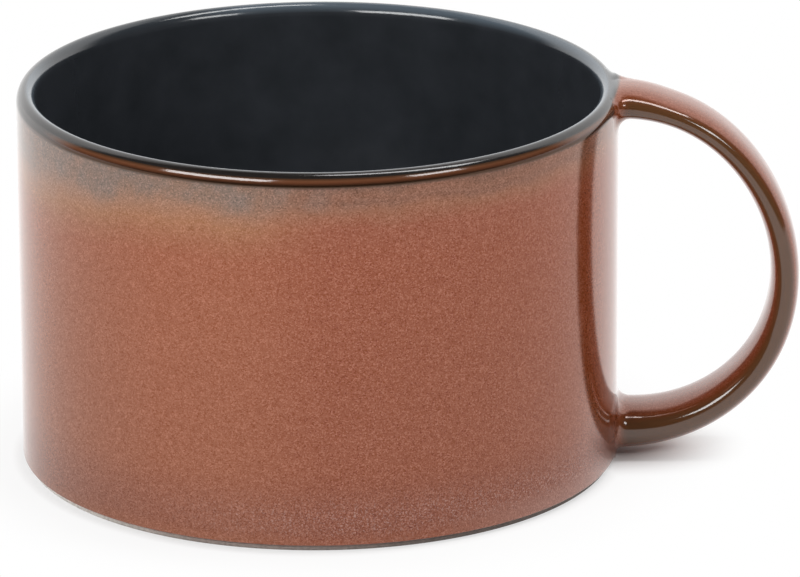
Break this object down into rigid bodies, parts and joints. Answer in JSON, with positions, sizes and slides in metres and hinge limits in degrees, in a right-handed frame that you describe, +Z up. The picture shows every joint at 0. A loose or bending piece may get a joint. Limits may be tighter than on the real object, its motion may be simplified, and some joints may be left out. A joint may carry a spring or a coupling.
{
  "type": "coffee cup",
  "caption": "Low straight-sided stoneware coffee cup with a looped strap handle, rust-coloured glaze outside and dark glaze inside, on a bare foot ring.",
  "frame": {"origin": "middle of the cup's footprint on the table, handle included, at the level of the foot ring", "axes": "+X from the cup towards its handle, +Z up out of the cup, Y across"},
  "size_m": [0.1056, 0.081, 0.052],
  "materials": {
    "stoneware": "bare fired stoneware, fine sandy matt",
    "slip": "fired slip, matt",
    "dark_glaze": "glossy blue-black glaze",
    "rust_glaze": "glossy rust-brown glaze with fine speckle"
  },
  "bodies": {
    "root": {"stoneware_body": "stoneware", "handle": "stoneware", "upper_slip_joint": "slip", "lower_slip_joint": "slip", "liner_glaze": "dark_glaze", "wall_glaze": "rust_glaze", "handle_glaze": "rust_glaze", "base_glaze": "rust_glaze"}
  },
  "joints": []
}
